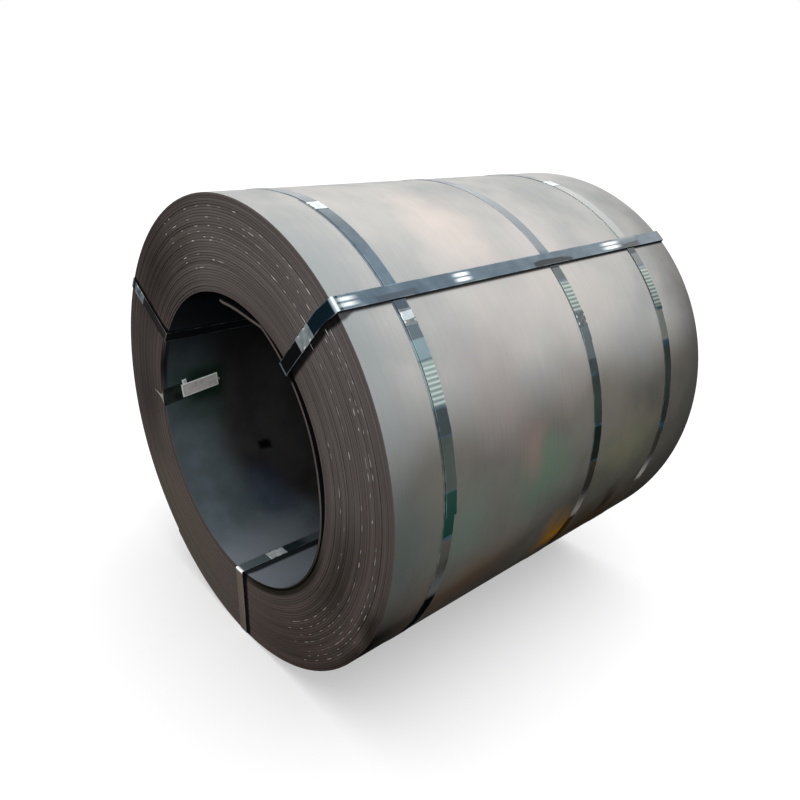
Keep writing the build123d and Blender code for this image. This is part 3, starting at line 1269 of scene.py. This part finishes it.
# %% Fold the eye straps
EYES = {
    "right": {"Clock": 42, "Low": 365.6, "High": 601.2, "Skew near": -10, "Skew far": 12, "Bow": 0.8},
    "bottom": {"Clock": 179, "Low": 379.9, "High": 598.4, "Skew near": 0, "Skew far": 0, "Bow": 0},
    "left": {"Clock": 303, "Low": 379.9, "High": 601.2, "Skew near": 0, "Skew far": 4, "Bow": 0.8},
}
fold_radius = 2.5 * mm
cuts_per_side = 23
eye_tree = None
for name, own in EYES.items():
    node = "eye_strap_" + name
    low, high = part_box(node)
    sizes = strap_sizes | {label: value * mm for label, value in own.items()}
    sizes |= {"Clock": float(own["Clock"]), "Fold": fold_radius, "Cuts": cuts_per_side}
    sizes["Near"] = low.x + strap_thickness / 2
    sizes["Far"] = high.x - strap_thickness / 2 - crease_depth
    eye_tree = eye_tree or make_eye_tree(sizes)
    finish_piece(grow(f"eye_{name}", eye_tree, sizes), "strap_steel", node, sharp=20)


# %% [markdown]
# Thin sheet, folded.
#
# The seals, the label and its backing are pieces of thin sheet. Each is laid out as a net of
# points on its outer face. thick_sheet gives the net a thickness along its own normals and
# closes the rim, which is how sheet metal is drawn in any CAD program: face first, then gauge.

# %% A sheet from a net of points
def thick_sheet(name, net, thickness, material, marks=None):
    """A closed solid: the net, the same net one thickness below it, and a rim between them."""
    grid = np.array(net)
    rows, columns = grid.shape[:2]
    along = np.gradient(grid, axis=0)
    across = np.gradient(grid, axis=1)
    normal = np.cross(along, across)
    normal /= np.linalg.norm(normal, axis=2, keepdims=True)
    below = grid - normal * thickness
    points = np.concatenate([grid.reshape(-1, 3), below.reshape(-1, 3)])
    place = np.arange(rows * columns).reshape(rows, columns)
    under = rows * columns
    faces = []
    for row in range(rows - 1):
        for column in range(columns - 1):
            a, b = place[row, column], place[row + 1, column]
            c, d = place[row + 1, column + 1], place[row, column + 1]
            faces.append((a, b, c, d))
            faces.append((under + d, under + c, under + b, under + a))
    rim = [*place[:-1, 0], *place[-1, :-1], *place[:0:-1, -1], *place[0, :0:-1]]
    for a, b in zip(rim, rim[1:] + rim[:1]):
        faces.append((b, a, under + a, under + b))
    mesh = bpy.data.meshes.new(name)
    mesh.from_pydata(points.tolist(), [], [[int(v) for v in face] for face in faces])
    mesh.validate()
    mesh.materials.append(material)
    for label, values in (marks or {}).items():
        mesh.attributes.new(label, "FLOAT", "POINT").data.foreach_set("value", 2 * list(values))
    return new_object(name, mesh)


# %% [markdown]
# Crimped seals.
#
# A seal is a short piece of zinc-plated sheet folded over both edges of the strap. The
# sealer's jaws then cut and push in each edge twice, which locks the two straps together.
# The net runs along the strap in one direction and over the folds in the other, and the jaws
# are soft steps that push the edge in and down where they bit.

# %% Shape of a seal
seal_side = strap_width / 2 + 0.5 * mm
seal_back = 0.1 * mm
bite_in, bite_down = 1.6 * mm, 0.35 * mm
bite_place, bite_reach = 0.23, 0.075
ridge_length = 5 * mm
sheet_gauge = 0.5 * mm
half_fold = [(-1, 0.0), (-1, 0.5), (-0.985, 0.85), (-0.94, 1.0), (-0.8, 1.0), (-0.62, 1.0), (-0.3, 1.0)]
fold = half_fold + [(0.0, 1.0)] + [(-side, up) for side, up in half_fold[::-1]]


def seal_net(length, top, ridge):
    """Rows of (along, across, up) from the strap's back, with two bites in each edge."""
    rows, bites = [], []
    for station in np.linspace(-0.5, 0.5, 61) * length:
        bite = math.exp(-((abs(station) / length - bite_place) / bite_reach) ** 6)
        wave = 0.5 - 0.5 * math.cos(station * math.tau / ridge_length)
        row = []
        for side, up in fold:
            edge = max(0.0, (abs(side) - 0.7) / 0.3)
            across = side * (seal_side - bite * edge * bite_in)
            lift = seal_back + up * (top - seal_back - bite * edge * bite_down - ridge * wave * (1 - edge))
            row.append((station, across, lift))
            bites.append(bite * edge)
        rows.append(row)
    return rows, {"bite": bites}


# %% [markdown]
# Putting the seals on.
#
# The same net serves all seven seals. What differs is where it is laid: round the coil on a belly
# band, flat on the near end, or flat in the bore. Each of these is a function that turns the
# net's own directions into a place. A seal's length and height are in millimetres.

# %% Crimp the seals
bore_run_back = 380.49 * mm


def on_belly(band, clock):
    """Maps a seal onto a belly band: along runs round the coil."""
    middle = band_place(band, clock)

    def place(along, across, up):
        radius = coil_radius + up
        angle = math.radians(clock) + along / coil_radius
        return middle + across, -radius * math.sin(angle), radius * math.cos(angle)
    return place


def on_eye(node, clock, facing):
    """Maps a seal onto an eye strap: on the near face, or on the bore's wall."""
    middle, front = middle_of(node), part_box(node)[1].x
    radius = math.hypot(middle.y, middle.z)
    turned = Matrix.Rotation(math.radians(clock), 3, "X")

    def place(along, across, up):
        if facing == "near":
            return turned @ Vector((front - up, -across, radius - along))
        return turned @ Vector((middle.x + along, -across, bore_run_back - up))
    return place


SEALS = {
    "belly_seal_near_lower": (on_belly("near", 48), 36, 2.6, 0.3),
    "belly_seal_near_upper": (on_belly("near", 16), 36, 2.6, 0.2),
    "belly_seal_middle": (on_belly("middle", 57), 36, 2.6, 0.2),
    "belly_seal_far": (on_belly("far", 14), 36, 2.6, 0.2),
    "eye_seal_right": (on_eye("eye_seal_right", 42, "near"), 57, 1.3, 0.0),
    "eye_seal_left": (on_eye("eye_seal_left", 303, "near"), 57, 1.3, 0.0),
    "eye_seal_bottom": (on_eye("eye_seal_bottom", 179, "bore"), 57, 1.3, 0.1),
}
for node, (place, length, top, ridge) in SEALS.items():
    net, marks = seal_net(length * mm, top * mm, ridge * mm)
    points = [[tuple(place(*point)) for point in row] for row in net]
    name = node.replace("belly_seal", "seal_belly").replace("eye_seal", "seal_eye")
    seal = thick_sheet(name, points, sheet_gauge, seal_steel, marks)
    finish_piece(seal, "seal_steel", node)


# %% [markdown]
# The label in the bore.
#
# A white label hangs on a dark strip that has been hooked over the near end. Both follow the
# wall of the bore, on a line that climbs by seven degrees.

# %% Places on the wall
label_clock = 273.7
label_tilt = math.radians(7)
label_middle = 120 * mm - strip_width / 2
near_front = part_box("label_backing")[0].x
label_wave = 9


def on_wall(along, across, height):
    """A place by the label's own directions: along it, across it, and its height off the wall."""
    x = along * math.cos(label_tilt) + across * math.sin(label_tilt)
    y = across * math.cos(label_tilt) - along * math.sin(label_tilt)
    radius = bore_radius - height
    angle = math.radians(label_clock) - y / bore_radius
    return label_middle + x, -radius * math.sin(angle), radius * math.cos(angle)


def wall_sheet(name, start, end, low, high, height, waviness, thickness, material):
    """A patch on the wall between two ends and two edges, in millimetres. No start: the rim."""
    rows, rims = [], []
    for across in np.linspace(low, high, 13):
        row = []
        begin = start
        if start is None:
            to_rim = (near_front - label_middle) / mm
            begin = (to_rim - across * math.sin(label_tilt)) / math.cos(label_tilt)
        for share in np.linspace(0, 1, 33):
            along = begin + (end - begin) * share
            lift = height - waviness * math.cos(along / label_wave)
            row.append(on_wall(along * mm, across * mm, lift * mm))
            rims.append(min(along - begin, across - low, (end - along) * 2, (high - across) * 2))
        rows.append(row)
    return thick_sheet(name, rows, thickness * mm, material, {"rim": rims})


# %% [markdown]
# Paper on a dark strip.
#
# The label is a little wavy, and its near and lower rims are worn pale. A small scrap of it
# stands at its far end. Every sheet is a row of the table: from and to along the label, from and
# to across it, its height off the wall, how wavy it is and its thickness, in millimetres.

# %% Label, tab, scrap and backing
label_paper = matt_finish(
    "label_paper", ((204, 198, 198), (184, 180, 180)),
    lambda tree, along, clock: stored(tree, "rim").between(3.0, 5.5, 1, 0), (238, 248, 243),
    cloud=(60, 3.0), rough=(0.5, 0.65),
)
backing_sheet = matt_finish(
    "backing_sheet", ((6, 13, 11), (14, 28, 21)),
    lambda tree, along, clock: along.between(-1 * mm, 0.5 * mm, 1, 0), (152, 146, 138),
)
WALL_SHEETS = {
    "label": (-61, 61, -21, 21, 1.25, 0.1, 0.2),
    "label_tab": (-56, -42, -36, -21, 1.2, 0, 0.2),
    "label_scrap": (64.5, 66.5, -2, 6, 1.2, 0, 0.2),
}
for name, shape in WALL_SHEETS.items():
    finish_piece(wall_sheet(name, *shape, label_paper), "label_paper", "label_plate")
backing = wall_sheet("backing", None, 67, -26, 26, 0.65, 0, 0.45, backing_sheet)
finish_piece(backing, "backing_sheet", "label_backing")


# %% [markdown]
# The hook over the near end.
#
# The backing has been torn where it bends over the coil's edge. What is left is wide at the
# bend and runs out in a narrow tongue that leans to one side. It is a flat net like the seals,
# with a half width that falls off quickly at first.

# %% Hook over the near end
hook_climb = (label_middle - near_front) * math.tan(label_tilt)
hook_clock = label_clock - math.degrees(hook_climb / bore_radius)
hook_length = 56
hook_lean = 0.22


def hook_net():
    """A torn end of the strip: wide where it bends over the edge, then a narrow leaning tongue."""
    turned = Matrix.Rotation(math.radians(hook_clock), 3, "X")
    rows = []
    for side in np.linspace(1, -1, 7):
        row = []
        for up in np.linspace(0, 1, 21) * hook_length:
            half_width = 13 * math.exp(-up / 7) + 4.5 * (1 - up / hook_length) + 0.4
            across = side * half_width - up * hook_lean
            place = Vector((near_front, across * mm, bore_radius + (up - 0.6) * mm))
            row.append(tuple(turned @ place))
        rows.append(row)
    return rows


hook = thick_sheet("backing_hook", hook_net(), sheet_gauge, backing_sheet)
finish_piece(hook, "backing_sheet", "label_backing")


# %% [markdown]
# The floor and the light.
#
# The photograph was cut out and laid on white, with a soft shadow under the coil. So the floor
# and the world look white to the camera and in reflections, but light the coil only a little:
# the Light Path node tells these rays from the ones that carry light. The floor keeps the
# shadow, because its pale part is still lit by the lamps.
#
# Two wide suns stand for the sky of a loading yard: one fairly soft, from above the camera's
# right, and one almost as wide as the sky, from the upper left. A small lamp reaches through
# the near end, as a doorway would, and picks out the label in the dark bore.

# %% Floor, world and lamps
def seen_directly(tree):
    """1 for rays from the camera, mirrors and glass, and 0 for the ones that light things."""
    path = add(tree, "ShaderNodeLightPath")
    seen = Term(tree, path.outputs["Is Camera Ray"]).math("MAXIMUM", path.outputs["Is Glossy Ray"])
    return seen.math("MAXIMUM", path.outputs["Is Transmission Ray"])


def end_by_ray(tree, lighting, seen, output):
    """Light the coil with the first shader, and show the second to the camera and in mirrors."""
    inputs = {0: seen_directly(tree), 1: lighting, 2: seen}
    add(tree, output, {0: made(tree, "ShaderNodeMixShader", inputs)})


def make_floor():
    bpy.ops.mesh.primitive_plane_add(size=60, location=(0, 0, cad_box[0][2] - 0.2 * mm))
    floor = bpy.context.object
    floor.name = "floor"
    look = bpy.data.materials.new("floor")
    tree = empty_tree(look)
    dull = made(tree, "ShaderNodeBsdfDiffuse", {"Color": (0.03, 0.03, 0.03, 1)})
    pale = made(tree, "ShaderNodeBsdfDiffuse", {"Color": (0.52, 0.52, 0.52, 1)})
    glow = made(tree, "ShaderNodeEmission", {"Strength": 0.4})
    bright = made(tree, "ShaderNodeAddShader", {0: pale, 1: glow})
    end_by_ray(tree, dull, bright, "ShaderNodeOutputMaterial")
    floor.data.materials.append(look)


def make_world():
    world = bpy.data.worlds.new("studio")
    bpy.context.scene.world = world
    tree = empty_tree(world)
    dim = made(tree, "ShaderNodeBackground", {"Color": white, "Strength": 0.01})
    bright = made(tree, "ShaderNodeBackground", {"Color": white, "Strength": 1.0})
    end_by_ray(tree, dim, bright, "ShaderNodeOutputWorld")


def hang_lamp(name, kind, strength, place, target, **settings):
    """Put a lamp at a place and point it at another."""
    data = bpy.data.lights.new(name, kind)
    data.energy = strength
    for label, value in settings.items():
        setattr(data, label, value)
    lamp = new_object(name, data)
    lamp.location = place
    lamp.rotation_euler = (Vector(target) - Vector(place)).to_track_quat("-Z", "Y").to_euler()
    print(f"{name}: {strength} from {place}")


make_floor()
make_world()
centre = (0, 0, 0)
hang_lamp("soft_sky", "SUN", 2.2, (0.1, -0.5, 3), centre, angle=math.radians(60))
hang_lamp("wide_sky", "SUN", 2.4, (-0.8, -0.1, 3), centre, angle=math.radians(170))
by_the_label = (-0.44, 0.38, 0.02)
doorway = {"size": 0.4, "spread": math.radians(34)}
hang_lamp("doorway", "AREA", 0.34, (-1.75, -0.85, 0.35), by_the_label, **doorway)


# %% [markdown]
# Last, the view transform is set to Standard.

# %% View transform
bpy.context.scene.view_settings.view_transform = "Standard"
